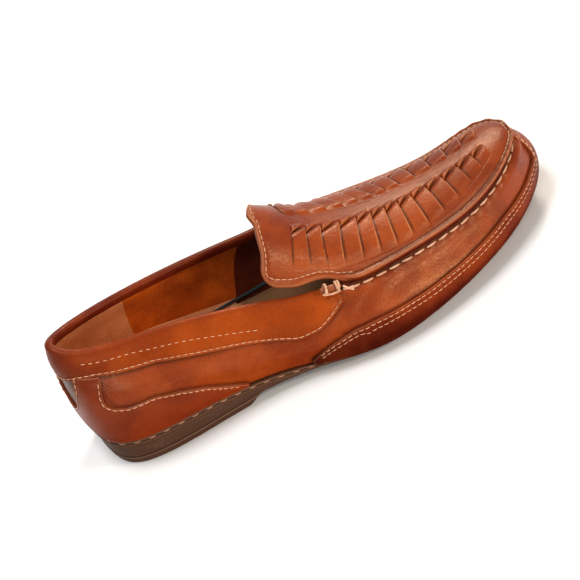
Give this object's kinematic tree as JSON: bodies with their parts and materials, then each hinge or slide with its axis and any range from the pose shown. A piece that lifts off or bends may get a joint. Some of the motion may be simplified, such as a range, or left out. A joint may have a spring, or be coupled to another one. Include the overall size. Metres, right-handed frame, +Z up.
{
  "type": "driving shoe",
  "caption": "Slip-on moccasin for the right foot with a woven apron over the forefoot, a low banded collar, a wrapped toe and a low rubber heel.",
  "frame": {"origin": "middle of the bounding box's footprint, on the floor that the shoe stands on", "axes": "+X from heel to toe, +Y towards the inner side of this right shoe (the wearer's left), +Z up"},
  "size_m": [0.302, 0.1026, 0.0924],
  "materials": {
    "vamp_leather": "smooth polished, orange-tan",
    "woven_leather": "smooth polished, tan",
    "wrap_leather": "smooth polished, tan",
    "collar_leather": "smooth polished, orange-tan",
    "counter_leather": "smooth polished, reddish tan",
    "tab_leather": "smooth, reddish tan",
    "footbed": "matt lining leather, beige",
    "midsole_rubber": "matt, brown",
    "outsole_rubber": "matt, dark brown"
  },
  "bodies": {
    "root": {"upper": "vamp_leather", "apron": "woven_leather", "wrap": "wrap_leather", "collar_band": "collar_leather", "heel_counter": "counter_leather", "tab_inner": "tab_leather", "tab_outer": "tab_leather", "insole": "footbed", "midsole": "midsole_rubber", "outsole": "outsole_rubber", "heel_lift": "outsole_rubber"}
  },
  "joints": []
}
